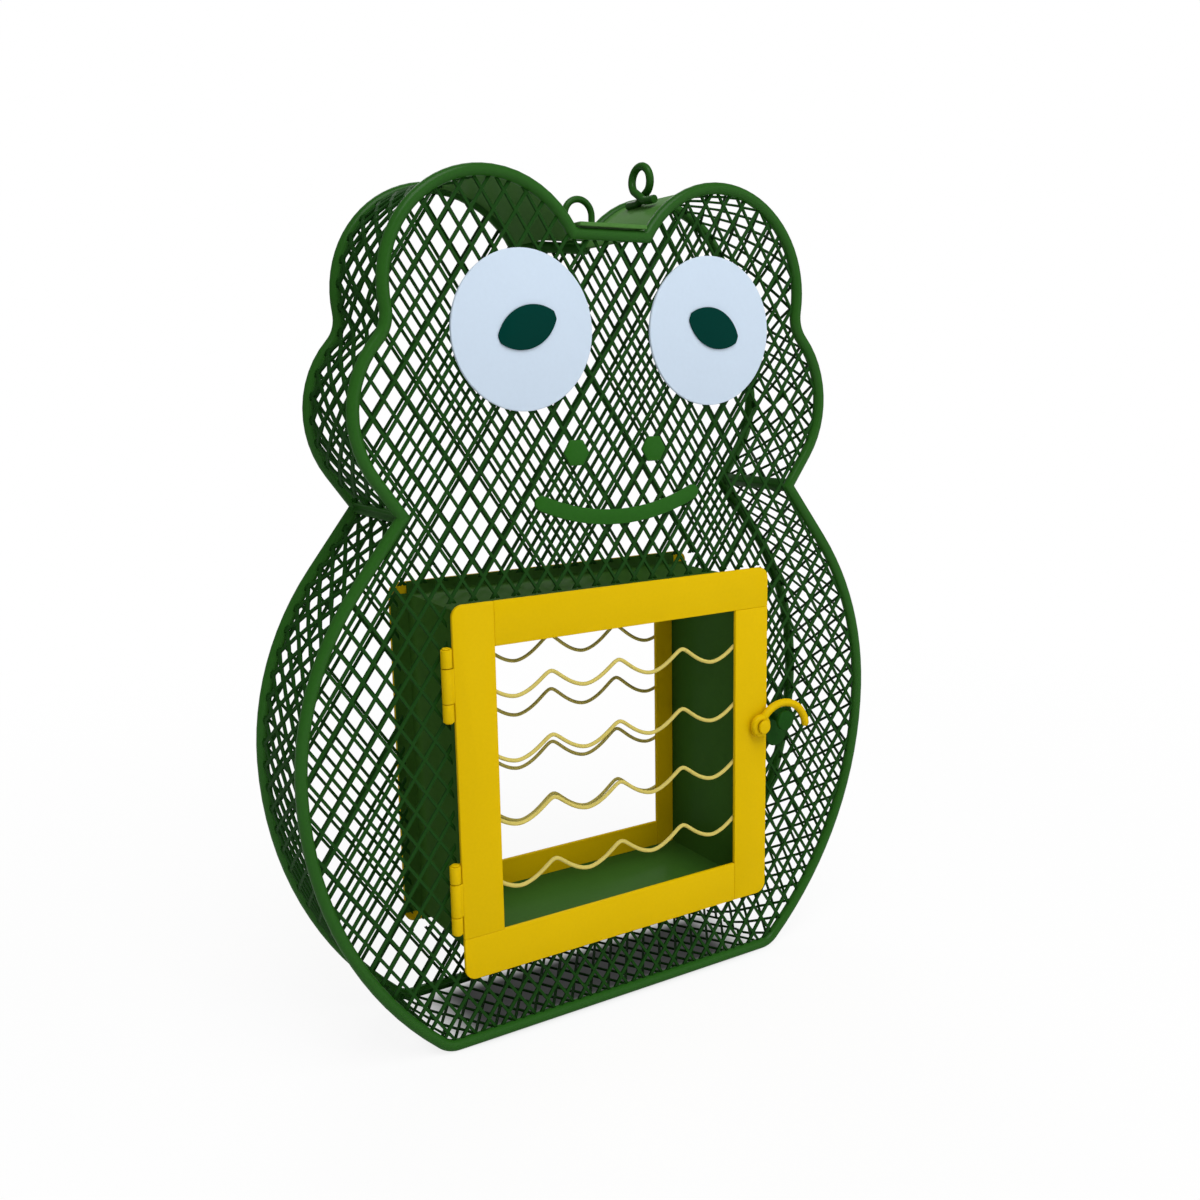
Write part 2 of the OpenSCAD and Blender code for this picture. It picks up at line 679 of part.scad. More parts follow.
// Wavy wire across a frame, with square-cut ends on the backs of the side bars
module wavy_wire(row, y, form) {
    sides = 6;
    r = wave_d / 2;
    shift = form[2];
    step = form[0] / 8;
    z0 = form[3] + (row - 1) * form[4];
    first = ceil((1 - wire_half - shift) / step);
    last = floor((wire_half - 1 - shift) / step);
    xs = concat([-wire_half], [for (i = [first:last]) shift + i * step], [wire_half]);
    n = len(xs);
    ring = [for (k = [0:sides - 1]) let (a = (k + 0.5) * 360 / sides) r * [cos(a), sin(a)]];
    points = [for (i = [0:n - 1]) let (turn = (i == 0 || i == n - 1) ? 0 : lean(xs[i], form)) for (s = ring)
        [xs[i] - s[0] * sin(turn), y + s[1], z0 + wave(xs[i], form) + s[0] * cos(turn)]];
    skin = [for (i = [0:n - 2], k = [0:sides - 1])
        let (a = i * sides + k, b = i * sides + (k + 1) % sides)
        for (f = [[a, b, b + sides], [a, b + sides, a + sides]]) f];
    ends = [[for (k = [sides - 1:-1:0]) k], [for (k = [0:sides - 1]) (n - 1) * sides + k]];
    polyhedron(points = points, faces = concat(skin, ends));
}

// Middle knuckle, joined to the edge of the door's left bar
module door_leaf(z) {
    h = knuckle_mid;
    difference() {
        union() {
            translate([hinge_x, hinge_y, z - h / 2]) cylinder(h = h, r = barrel_r);
            translate([hinge_x, door_y0, z - h / 2]) cube([barrel_r, bar_t, h]);
        }
        translate([hinge_x, hinge_y, z - h / 2 - 1]) cylinder(h = h + 2, r = hinge_pin_d / 2 + run_gap);
    }
}

// Two outer knuckles on a leaf that lies along the box's left side
module box_leaf(z) {
    low = z - hinge_len / 2;
    high = z + hinge_len / 2;
    difference() {
        union() {
            for (z0 = [low, high - knuckle_end]) {
                translate([hinge_x, hinge_y, z0]) cylinder(h = knuckle_end, r = barrel_r);
                translate([hinge_x, web_y0, z0]) cube([-box_half - hinge_x, leaf_t, knuckle_end]);
            }
            translate([-box_half - leaf_t, web_y0, low]) cube([leaf_t, leaf_len, hinge_len]);
        }
        translate([hinge_x, hinge_y, low - 1]) cylinder(h = hinge_len + 2, r = hinge_pin_d / 2 + run_gap);
    }
}

// Headed pin through a hinge's three knuckles
module hinge_pin(z) {
    low = z - hinge_len / 2;
    translate([hinge_x, hinge_y, low]) cylinder(h = hinge_len, r = hinge_pin_d / 2);
    for (z0 = [low - pin_head_t, low + hinge_len])
        translate([hinge_x, hinge_y, z0]) cylinder(h = pin_head_t, r = pin_head_d / 2);
}

// Rivet on the door's right bar that the hook turns on
module rivet() {
    rod_y(latch_x, rivet_head_y, door_y0, latch_z, rivet_d / 2);
    rod_y(latch_x, rivet_head_y - rivet_head_t, rivet_head_y, latch_z, rivet_head_d / 2);
}

// Wire hook: an eye round the rivet and an arch with a blunt tip
module hook() {
    $fn = 32;
    translate([latch_x, hook_y, latch_z]) rotate([90, 0, 0]) {
        rotate_extrude() translate([hook_eye_r, 0]) circle(hook_r);
        translate([arch_top, arch_z, 0]) rotate(arch_end_a)
            rotate_extrude(angle = arch_start_a - arch_end_a) translate([arch_r, 0]) circle(hook_r);
    }
    translate([latch_x + hook_reach, hook_y, latch_z - tip_drop]) sphere(hook_tip_r);
}

// Headed stud that the hook drops behind, on a foot plate against the front mesh
module catch() {
    rod_y(stud_x, rivet_head_y, face_y0, stud_z, stud_d / 2);
    rod_y(stud_x, rivet_head_y - stud_head_t, rivet_head_y, stud_z, stud_head_d / 2);
    upright(face_y0, face_t) {
        translate([foot_x - foot_w / 2, foot_low + foot_w / 2]) square([foot_w, foot_h - foot_w]);
        for (z = [foot_low + foot_w / 2, foot_low + foot_h - foot_w / 2])
            translate([foot_x, z]) circle(foot_w / 2);
    }
}

// Lid over the valley, with its own knuckle at the back
module lid() {
    difference() {
        union() {
            translate([-lid_half, -lid_front, lid_z]) cube([2 * lid_half, lid_front + lid_back, lid_t]);
            translate([-lid_knuckle / 2, lid_back - 1, lid_z])
                cube([lid_knuckle, body_depth - lid_back + 1, lid_t]);
            rod_x(-lid_knuckle / 2, lid_knuckle / 2, body_depth, lid_axis_z, lid_barrel_r);
        }
        rod_x(-lid_knuckle, lid_knuckle, body_depth, lid_axis_z, lid_pin_d / 2 + run_gap);
    }
}

// Arched wire on the lid to lift it by
module pull_ring() {
    wire_r = pull_wire_d / 2;
    arch = pull_w / 2 - wire_r;
    lid_top = lid_z + lid_t;
    arch_z = lid_top + pull_h - pull_w / 2;
    for (side = [-1, 1])
        translate([side * arch, pull_y, lid_top]) cylinder(h = arch_z - lid_top, r = wire_r);
    translate([0, pull_y, arch_z]) rotate([90, 0, 0])
        rotate_extrude(angle = 180) translate([arch, 0]) circle(wire_r);
}

// Two knuckles that stand on the back rim
module lid_knuckles() {
    saddle = 0.7 * rim_r;
    difference() {
        for (x0 = [-lid_hinge_len / 2, lid_hinge_len / 2 - lid_end_knuckle]) {
            rod_x(x0, x0 + lid_end_knuckle, body_depth, lid_axis_z, lid_barrel_r);
            translate([x0, body_depth - saddle / 2, rim_top]) cube([lid_end_knuckle, saddle, lid_axis_h]);
        }
        rod_x(-lid_hinge_len, lid_hinge_len, body_depth, lid_axis_z, lid_pin_d / 2 + run_gap);
    }
}

module lid_pin() {
    half = lid_hinge_len / 2;
    rod_x(-half, half, body_depth, lid_axis_z, lid_pin_d / 2);
    for (x0 = [-half - pin_head_t, half])
        rod_x(x0, x0 + pin_head_t, body_depth, lid_axis_z, lid_pin_head_d / 2);
}

module front_mesh() { color(mesh_green) mesh_panel(0, true); }
module back_mesh() { color(mesh_green) mesh_panel(body_depth, false); }
module bottom_mesh() { color(mesh_green) bottom_net(); }
module front_rim() { color(rim_green) rim(0); }
module back_rim() { color(rim_green) rim(body_depth); }
module lid_plate() { color(rim_green) lid(); }
module lid_pull_ring() { color(rim_green) pull_ring(); }
module lid_hinge_knuckles() { color(rim_green) lid_knuckles(); }
module lid_hinge_pin() { color(rim_green) lid_pin(); }
module mouth() { color(face_green) mouth_strip(); }
module suet_box() { color(box_green) box_tunnel(); }
module door_bar(place) { color(frame_yellow) frame_bar(place, door_y0); }
module back_bar(place) { color(frame_yellow) frame_bar(place, box_y1); }
module door_wire(row) { color(wire_yellow) wavy_wire(row, door_y1 + wave_d / 2, door_waves); }
module back_wire(row) { color(wire_yellow) wavy_wire(row, back_frame_y1 + wave_d / 2, back_waves); }
module hinge_door_leaf(z) { color(frame_yellow) door_leaf(z); }
module hinge_box_leaf(z) { color(frame_yellow) box_leaf(z); }
module latch_rivet() { color(frame_yellow) rivet(); }
module latch_hook() { color(frame_yellow) hook(); }
module latch_catch() { color(face_green) catch(); }

front_mesh();
back_mesh();
bottom_mesh();
front_rim();
back_rim();
color(mesh_green) head_band(-1);  // head_band_left
color(mesh_green) head_band(1);  // head_band_right
color(mesh_green) body_band(-1);  // body_band_left
color(mesh_green) body_band(1);  // body_band_right
color(rim_green) neck_strip(-1);  // neck_strip_left
color(rim_green) neck_strip(1);  // neck_strip_right
color(rim_green) head_sheet(-1);  // head_sheet_left
color(rim_green) head_sheet(1);  // head_sheet_right
lid_plate();
lid_pull_ring();
lid_hinge_knuckles();
lid_hinge_pin();
color(rim_green) hanger_right();
color(eye_white) eye(-1);  // eye_left
color(eye_white) eye(1);  // eye_right
color(pupil_teal) pupil(-1);  // pupil_left
color(pupil_teal) pupil(1);  // pupil_right
color(face_green) nostril(-1);  // nostril_left
color(face_green) nostril(1);  // nostril_right
mouth();
suet_box();
door_bar("left");  // door_bar_left
door_bar("top");  // door_bar_top
door_bar("right");  // door_bar_right
door_bar("bottom");  // door_bar_bottom
door_wire(1);  // door_wire_1
door_wire(2);  // door_wire_2
door_wire(3);  // door_wire_3
door_wire(4);  // door_wire_4
back_bar("left");  // back_bar_left
back_bar("top");  // back_bar_top
back_bar("right");  // back_bar_right
back_bar("bottom");  // back_bar_bottom
back_wire(1);  // back_wire_1
back_wire(2);  // back_wire_2
back_wire(3);  // back_wire_3
back_wire(4);  // back_wire_4
hinge_door_leaf(upper_hinge_z);  // upper_hinge_door_leaf
hinge_box_leaf(upper_hinge_z);  // upper_hinge_box_leaf
color(frame_yellow) hinge_pin(upper_hinge_z);  // upper_hinge_pin
hinge_door_leaf(lower_hinge_z);  // lower_hinge_door_leaf
hinge_box_leaf(lower_hinge_z);  // lower_hinge_box_leaf
color(frame_yellow) hinge_pin(lower_hinge_z);  // lower_hinge_pin
latch_rivet();
latch_hook();
latch_catch();
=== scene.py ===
"""Frog bird feeder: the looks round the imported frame.

The body is dark green expanded mesh between two rim wires, with a yellow door on a sheet box in
the belly. Lengths are in millimetres and become metres through MM where a mesh is made. Points of
the outline are (x, z) in the face's plane, and y runs from the front rim to the back rim.
"""

import json
import math

import bpy
from mathutils import Matrix, Vector


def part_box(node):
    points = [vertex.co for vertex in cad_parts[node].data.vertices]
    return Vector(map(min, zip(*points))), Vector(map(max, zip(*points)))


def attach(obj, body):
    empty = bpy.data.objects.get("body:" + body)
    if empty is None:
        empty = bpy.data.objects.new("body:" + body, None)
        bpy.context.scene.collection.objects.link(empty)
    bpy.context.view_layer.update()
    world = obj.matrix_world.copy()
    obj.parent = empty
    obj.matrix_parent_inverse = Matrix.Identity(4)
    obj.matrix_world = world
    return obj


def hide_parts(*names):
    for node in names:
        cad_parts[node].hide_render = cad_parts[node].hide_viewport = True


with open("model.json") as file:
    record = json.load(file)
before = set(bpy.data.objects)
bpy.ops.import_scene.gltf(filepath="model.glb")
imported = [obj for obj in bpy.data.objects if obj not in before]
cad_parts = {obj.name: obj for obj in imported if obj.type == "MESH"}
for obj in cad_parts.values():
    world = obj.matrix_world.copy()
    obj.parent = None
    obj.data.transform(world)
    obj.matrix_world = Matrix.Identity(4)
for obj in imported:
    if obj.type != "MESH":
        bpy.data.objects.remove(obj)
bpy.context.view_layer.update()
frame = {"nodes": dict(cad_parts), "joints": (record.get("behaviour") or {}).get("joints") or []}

MM = 0.001
BODY = "feeder_body"

# Rim wires: distance between their middles, and radius
BODY_DEPTH = 41
RIM_R = 2

# Outline of the body's right half along the middle of the rim wire: centres and radii of its arcs
VALLEY_Z = 272
BUMP, BUMP_R = (45, 254), 35.5
WAIST_R = 12
CHEEK, CHEEK_R = (58.5, 215.5), 33.5
NOTCH_Z, NOTCH_OUT = 184.5, 6
NECK_HALF = 2.5
BELLY_HALF, BELLY_Z = 115, 101.5
BELLY_UPPER_R, BELLY_LOWER_R = 101, 132
BOTTOM_CORNER_R = 9.5

# Plain sheet on the bumps' inner flanks: the angle from +X at which it ends, further over the crown
# than in the frame, and its thickness
SHEET_END_ANGLE = 93
SHEET_T = 0.8

# Expanded mesh: a cell's size, a strand's size, its twist out of the sheet and its rounding
CELL_W, CELL_H = 7.8, 11.5
STRAND_W, STRAND_T = 0.98, 0.8
STRAND_TWIST = 0.35
STRAND_ROUND = 0.22

# How far a mesh sheet reaches under the rim wires
SELVAGE = 0.6

# How far the tools reach past a mesh sheet that trim its edge and cut its openings
TRIM_REACH, OPENING_REACH = 3, 4

# Waves of the wires: length, height, and place of the middle peak
DOOR_WAVES = (27.2, 6.6, -0.6)
BACK_WAVES = (30.2, 8, 1)

# How blunt a wave's peak is, as a share of half its length, and how steeply it falls
PEAK_BLUNT = 0.14
WAVE_FALL = 1.8


# Working in Blender


def set_mode(mode):
    bpy.ops.object.mode_set(mode=mode)


def activate(obj):
    """Selects one object alone and makes it the active one."""
    for other in bpy.context.selected_objects:
        other.select_set(False)
    obj.select_set(True)
    bpy.context.view_layer.objects.active = obj


def link(obj):
    """Puts an object in the scene and makes it the active one."""
    bpy.context.scene.collection.objects.link(obj)
    activate(obj)
    return obj


def apply_modifiers(obj):
    activate(obj)
    for modifier in list(obj.modifiers):
        bpy.ops.object.modifier_apply(modifier=modifier.name)


def smooth(obj, angle):
    """Smooth shading, apart from the edges that are sharper than the angle."""
    activate(obj)
    bpy.ops.object.shade_smooth_by_angle(angle=math.radians(angle))


def turn_faces_out(obj, merge=0):
    """Merges doubles where a distance is given, and points the faces outwards."""
    activate(obj)
    set_mode("EDIT")
    bpy.ops.mesh.select_all(action="SELECT")
    if merge:
        bpy.ops.mesh.remove_doubles(threshold=merge * MM)
    bpy.ops.mesh.normals_make_consistent(inside=False)
    set_mode("OBJECT")


def thicken(obj, thickness):
    """Gives a flat piece its thickness, half to each side."""
    modifier = obj.modifiers.new("thickness", "SOLIDIFY")
    modifier.thickness = thickness * MM
    modifier.offset = 0
    apply_modifiers(obj)


def round_edges(obj, width, segments, angle):
    """Rounds the edges that are sharper than the angle."""
    bevel = obj.modifiers.new("edges", "BEVEL")
    bevel.width = width * MM
    bevel.segments = segments
    bevel.limit_method = "ANGLE"
    bevel.angle_limit = math.radians(angle)
    if segments > 1:
        bevel.miter_outer = "MITER_ARC"
    apply_modifiers(obj)


def node_box(node):
    """Lowest and highest corner of a CAD node, in millimetres."""
    return tuple(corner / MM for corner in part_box(node))


def finish_piece(obj, name, body, finish, *nodes):
    """Names a piece, gives it its finish's material and its body, and hides the CAD nodes that it stands
    in for.
    """
    material, slot = finish
    obj.name = name
    obj.data.name = name
    obj.data.materials.clear()
    obj.data.materials.append(material)
    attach(obj, body)
    if nodes:
        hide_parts(*nodes)


# The body's outline


def arc(centre, radius, start, end, steps):
    """Points on an arc between two angles in degrees, both ends among them."""
    angles = [math.radians(start + (end - start) * i / steps) for i in range(steps + 1)]
    return [(centre[0] + radius * math.cos(a), centre[1] + radius * math.sin(a)) for a in angles]


def direction(a, b):
    """Angle in degrees of the way from one point to another."""
    return math.degrees(math.atan2(b[1] - a[1], b[0] - a[0]))


def heading(angle):
    """A step of length 1 at an angle in degrees."""
    return Vector((math.cos(math.radians(angle)), math.sin(math.radians(angle))))


def path_length(path):
    return sum(math.dist(a, b) for a, b in zip(path, path[1:]))


def touching_hollow():
    """Centre of the hollow that touches both the eye bump and the cheek."""
    bump, cheek = Vector(BUMP), Vector(CHEEK)
    bump_reach, cheek_reach = BUMP_R + WAIST_R, CHEEK_R + WAIST_R
    gap = (cheek - bump).length
    along = (bump_reach**2 - cheek_reach**2 + gap**2) / (2 * gap)
    out = math.sqrt(bump_reach**2 - along**2)
    way = (cheek - bump) / gap
    return bump + way * along + Vector((-way.y, way.x)) * out


def tangent_angle(centre, radius, point, side):
    """Where on a circle a line from a point touches it."""
    reach = math.dist(centre, point)
    return direction(centre, point) + side * math.degrees(math.acos(radius / reach))


def notch_point():
    """The neck notch, a little outside both the belly and the cheek at its height."""
    on_belly = BELLY_UPPER[0] + math.sqrt(BELLY_UPPER_R**2 - (NOTCH_Z - BELLY_Z) ** 2)
    on_cheek = CHEEK[0] + math.sqrt(max(0, CHEEK_R**2 - (NOTCH_Z - CHEEK[1]) ** 2))
    return max(on_belly, on_cheek) + NOTCH_OUT, NOTCH_Z


# What follows from the arcs: the centres of the belly's and the hollow's, the notch, the bottom
# corner, and the angles at which one stretch meets the next
BELLY_UPPER = (BELLY_HALF - BELLY_UPPER_R, BELLY_Z)
BELLY_LOWER = (BELLY_HALF - BELLY_LOWER_R, BELLY_Z)
NOTCH = notch_point()
WAIST = touching_hollow()
BUMP_END = direction(BUMP, WAIST)
CHEEK_START = direction(CHEEK, WAIST)
CHEEK_END = tangent_angle(CHEEK, CHEEK_R, NOTCH, 1)
BELLY_START = tangent_angle(BELLY_UPPER, BELLY_UPPER_R, NOTCH, -1)
CORNER_Z = RIM_R + BOTTOM_CORNER_R
CORNER_REACH = BELLY_LOWER_R - BOTTOM_CORNER_R
CORNER_X = BELLY_LOWER[0] + math.sqrt(CORNER_REACH**2 - (BELLY_Z - CORNER_Z) ** 2)
CORNER_START = direction(BELLY_LOWER, (CORNER_X, CORNER_Z))


def valley_angle(out):
    """Angle on the bump at which it meets the valley, with the outline moved out by so much."""
    return 180 - math.degrees(math.asin((VALLEY_Z + out - BUMP[1]) / (BUMP_R + out)))


def outline_parts(out, finer=1):
    """Right half of the outline moved out by so much, as the wall's four stretches from the top. Its
    arcs take so many times their usual steps."""
    # The ways out of the cheek and the belly at the notch, and down along each
    cheek_out, belly_out = heading(CHEEK_END), heading(BELLY_START)
    cheek_down = Vector((cheek_out.y, -cheek_out.x))
    belly_down = Vector((belly_out.y, -belly_out.x))
    notch = Vector(NOTCH)
    neck_top = notch - cheek_down * NECK_HALF + cheek_out * out
    neck_low = notch + belly_down * NECK_HALF + belly_out * out
    neck_fold = notch + (cheek_out + belly_out) * out / (1 + cheek_out.dot(belly_out))
    sheet = arc(BUMP, BUMP_R + out, valley_angle(out), SHEET_END_ANGLE, 8 * finer)
    head = arc(BUMP, BUMP_R + out, SHEET_END_ANGLE, BUMP_END, 20 * finer)
    head += arc(WAIST, WAIST_R - out, BUMP_END + 180, CHEEK_START + 180, 8 * finer)[1:]
    head += arc(CHEEK, CHEEK_R + out, CHEEK_START, CHEEK_END, 12 * finer)[1:]
    head += [tuple(neck_top)]
    neck = [tuple(neck_top), tuple(neck_fold), tuple(neck_low)]
    belly = [tuple(neck_low)]
    belly += arc(BELLY_UPPER, BELLY_UPPER_R + out, BELLY_START, 0, 12 * finer)
    belly += arc(BELLY_LOWER, BELLY_LOWER_R + out, 0, CORNER_START, 16 * finer)[1:]
    belly += arc((CORNER_X, CORNER_Z), BOTTOM_CORNER_R + out, CORNER_START, -90, 8 * finer)[1:]
    return {"sheet": sheet, "head": head, "neck": neck, "belly": belly}


def full_outline(out):
    """The whole outline, moved out by so much."""
    sheet, head, neck, belly = outline_parts(out).values()
    half = sheet + head[1:] + neck[1:] + belly[1:]
    return half + [(-x, z) for x, z in reversed(half)]


# Shapes


def mesh_object(name, points, faces):
    """A mesh from points in millimetres."""
    data = bpy.data.meshes.new(name)
    data.from_pydata([Vector(p) * MM for p in points], [], faces)
    obj = link(bpy.data.objects.new(name, data))
    turn_faces_out(obj)
    return obj


def slab(name, ring, low, high):
    """A closed outline in the face's plane with a thickness from y = low to y = high."""
    n = len(ring)
    points = [(x, low, z) for x, z in ring] + [(x, high, z) for x, z in ring]
    sides = [(i, (i + 1) % n, n + (i + 1) % n, n + i) for i in range(n)]
    return mesh_object(name, points, sides + [tuple(range(n))[::-1], tuple(range(n, 2 * n))])


def block(name, low, high):
    """A box between two corners in millimetres."""
    middle = (Vector(low) + Vector(high)) / 2 * MM
    bpy.ops.mesh.primitive_cube_add(size=1, location=middle)
    obj = bpy.context.object
    obj.name = name
    obj.scale = (Vector(high) - Vector(low)) * MM
    bpy.ops.object.transform_apply(location=True, rotation=False, scale=True)
    return obj


def cut(obj, tool, operation):
    """Cuts with another solid, which is then deleted."""
    modifier = obj.modifiers.new("cut", "BOOLEAN")
    modifier.operation = operation
    modifier.object = tool
    modifier.solver = "MANIFOLD"
    apply_modifiers(obj)
    bpy.data.objects.remove(tool)


def expanded_mesh(name, width, height):
    """A flat sheet of expanded mesh in the XZ plane, centred: slit and drawn out, with its strands
    slightly twisted. It is somewhat larger than the width and height, and trimmed later."""
    cells = math.ceil(width / CELL_W + height / CELL_H) // 2 * 2 + 2
    bpy.ops.mesh.primitive_grid_add(x_subdivisions=cells, y_subdivisions=cells, size=cells)
    sheet = bpy.context.object
    sheet.name = name
    turn = Matrix.Rotation(math.radians(45), 4, "Z")
    stretch = Matrix.Diagonal((CELL_W * MM / math.sqrt(2), CELL_H * MM / math.sqrt(2), 1, 1))
    stand = Matrix.Rotation(math.radians(90), 4, "X")
    sheet.data.transform(stand @ stretch @ turn)
    activate(sheet)
    set_mode("EDIT")
    bpy.ops.mesh.select_mode(type="FACE")
    bpy.ops.mesh.select_all(action="SELECT")
    bpy.ops.mesh.inset(thickness=STRAND_W / 2 * MM, use_individual=True, use_even_offset=True)
    set_mode("OBJECT")
    holes = [f for f in sheet.data.polygons if f.select]
    for hole in holes:
        for index in hole.vertices:
            corner = sheet.data.vertices[index]
            rise = (corner.co.z - hole.center.z) / (CELL_H / 2 * MM)
            corner.co.y = -rise * STRAND_TWIST * MM
    set_mode("EDIT")
    bpy.ops.mesh.delete(type="FACE")
    set_mode("OBJECT")
    thicken(sheet, STRAND_T)
    return sheet


def round_strands(sheet):
    """Takes the sharpness off the strands of a trimmed sheet."""
    round_edges(sheet, STRAND_ROUND, segments=1, angle=50)
    smooth(sheet, angle=70)


def wrap(obj, path, reverse):
    """Bends a flat piece round a stretch of the wall, or its mirror image on the left. Its x becomes
    the way along the path, y the way out and z the depth of the body from the front rim's plane."""
    spots = [Vector((x, z)) for x, z in path]
    steps = [(b - a).length for a, b in zip(spots, spots[1:])]
    starts = [sum(steps[:i]) for i in range(len(steps))]
    normals = []
    for i in range(len(spots)):
        way = (spots[min(i + 1, len(spots) - 1)] - spots[max(i - 1, 0)]).normalized()
        normals.append(Vector((-way.y, way.x)))
    for vertex in obj.data.vertices:
        along, out, depth = (vertex.co / MM)[:]
        i = max([0] + [k for k, start in enumerate(starts) if start <= along])
        part = (along - starts[i]) / steps[i]
        spot = spots[i].lerp(spots[i + 1], part)
        normal = normals[i].lerp(normals[i + 1], min(max(part, 0), 1)).normalized()
        x, z = spot + normal * out
        vertex.co = Vector((-x if reverse else x, depth, z)) * MM


def wire(name, points, radius, radii=None):
    """A round wire along points in millimetres, with closed ends. The radii are shares of the radius."""
    curve = bpy.data.curves.new(name, "CURVE")
    curve.dimensions = "3D"
    curve.bevel_depth = radius * MM
    curve.bevel_resolution = 5
    curve.use_fill_caps = True
    spline = curve.splines.new("POLY")
    spline.points.add(len(points) - 1)
    for i, point in enumerate(points):
        spline.points[i].co = (*(Vector(point) * MM), 1)
        spline.points[i].radius = radii[i] if radii else 1
    link(bpy.data.objects.new(name, curve))
    bpy.ops.object.convert(target="MESH")
    obj = bpy.context.object
    turn_faces_out(obj, merge=0.01)
    smooth(obj, angle=50)
    return obj


def smooth_path(points, rounds):
    """Cuts a path's corners so that it bends like wire."""
    for _ in range(rounds):
        cut_points = [points[0]]
        for a, b in zip(points, points[1:]):
            a, b = Vector(a), Vector(b)
            cut_points += [tuple(a.lerp(b, 0.25)), tuple(a.lerp(b, 0.75))]
        points = cut_points + [points[-1]]
    return points


# Shader nodes


def feed(tree, socket, value):
    """Links another socket to this one, or sets a plain value."""
    if isinstance(value, bpy.types.NodeSocket):
        tree.links.new(value, socket)
    else:
        socket.default_value = value


def maths(tree, operation, *values):
    """A sum on plain values or sockets."""
    node = tree.nodes.new("ShaderNodeMath")
    node.operation = operation
    for socket, value in zip(node.inputs, values):
        feed(tree, socket, value)
    return node.outputs[0]


def remap(tree, value, old, new, curve="LINEAR"):
    """Moves a value from one range into another."""
    node = tree.nodes.new("ShaderNodeMapRange")
    node.interpolation_type = curve
    node.inputs["From Min"].default_value, node.inputs["From Max"].default_value = old
    node.inputs["To Min"].default_value, node.inputs["To Max"].default_value = new
    tree.links.new(value, node.inputs["Value"])
    return node.outputs["Result"]


def scaled(tree, vector, factor):
    """A colour or vector times a factor."""
    node = tree.nodes.new("ShaderNodeVectorMath")
    node.operation = "SCALE"
    feed(tree, node.inputs[0], vector)
    feed(tree, node.inputs["Scale"], factor)
    return node.outputs[0]


def object_coordinates(tree):
    return tree.nodes.new("ShaderNodeTexCoord").outputs["Object"]


def noise(tree, coordinates, scale, detail):
    """Noise from 0 to 1, with about so many spots to the metre."""
    node = tree.nodes.new("ShaderNodeTexNoise")
    node.inputs["Detail"].default_value = detail
    feed(tree, node.inputs["Scale"], scale)
    tree.links.new(coordinates, node.inputs["Vector"])
    return node.outputs["Fac"]


def new_group(name, inputs, outputs):
    """A node group with its inputs as outputs of one node, and a node that takes its outputs."""
    group = bpy.data.node_groups.new(name, "ShaderNodeTree")
    for socket, kind, value in inputs:
        made = group.interface.new_socket(name=socket, in_out="INPUT", socket_type=kind)
        made.default_value = value
    for socket, kind in outputs:
        group.interface.new_socket(name=socket, in_out="OUTPUT", socket_type=kind)
    return group, group.nodes.new("NodeGroupInput"), group.nodes.new("NodeGroupOutput")


def coat_colour_group():
    """Powder coat colour: a broad cloudy change and fine speckle."""
    group, entry, end = new_group(
        "coat_colour",
        [
            ("Colour", "NodeSocketColor", (0.1, 0.3, 0.1, 1)),
            ("Cloud Scale", "NodeSocketFloat", 18.0),
            ("Cloud Amount", "NodeSocketFloat", 0.12),
            ("Speckle Scale", "NodeSocketFloat", 900.0),
            ("Speckle Amount", "NodeSocketFloat", 0.06),
        ],
        [("Colour", "NodeSocketColor")],
    )
    coordinates = object_coordinates(group)
    # Noise keeps within about a quarter of its middle, so four times the amount is its full swing
    full_swing = 4
    swings = []
    for layer, detail in (("Cloud", 3), ("Speckle", 2)):
        pattern = noise(group, coordinates, entry.outputs[f"{layer} Scale"], detail)
        centred = maths(group, "SUBTRACT", pattern, 0.5)
        swing = maths(group, "MULTIPLY", entry.outputs[f"{layer} Amount"], full_swing)
        swings.append(maths(group, "MULTIPLY", centred, swing))
    level = maths(group, "ADD", maths(group, "ADD", *swings), 1)
    group.links.new(scaled(group, entry.outputs["Colour"], level), end.inputs["Colour"])
    return group


def coat_surface_group():
    """Powder coat relief: orange peel with fine grit, and the roughness that goes with it."""
    group, entry, end = new_group(
        "coat_surface",
        [
            ("Peel Scale", "NodeSocketFloat", 700.0),
            ("Grit Scale", "NodeSocketFloat", 3000.0),
            ("Grit Share", "NodeSocketFloat", 0.3),
            ("Patch Scale", "NodeSocketFloat", 45.0),
            ("Roughness", "NodeSocketFloat", 0.35),
            ("Roughness Change", "NodeSocketFloat", 0.1),
        ],
        [("Height", "NodeSocketFloat"), ("Roughness", "NodeSocketFloat")],
    )
    given = entry.outputs
    coordinates = object_coordinates(group)
    peel = noise(group, coordinates, given["Peel Scale"], 1)
    grit = noise(group, coordinates, given["Grit Scale"], 2)
    fine = maths(group, "MULTIPLY", grit, given["Grit Share"])
    group.links.new(maths(group, "ADD", peel, fine), end.inputs["Height"])
    patches = noise(group, coordinates, given["Patch Scale"], 3)
    centred = maths(group, "SUBTRACT", patches, 0.5)
    change = maths(group, "MULTIPLY_ADD", centred, given["Roughness Change"], given["Roughness"])
    group.links.new(change, end.inputs["Roughness"])
    return group


COAT_COLOUR = coat_colour_group()
COAT_SURFACE = coat_surface_group()


# Materials


def linear(rgb):
    """A colour as read off a picture, 0 to 255, in linear light."""
    shares = [v / 255 for v in rgb]
    return tuple(c / 12.92 if c <= 0.04045 else ((c + 0.055) / 1.055) ** 2.4 for c in shares)


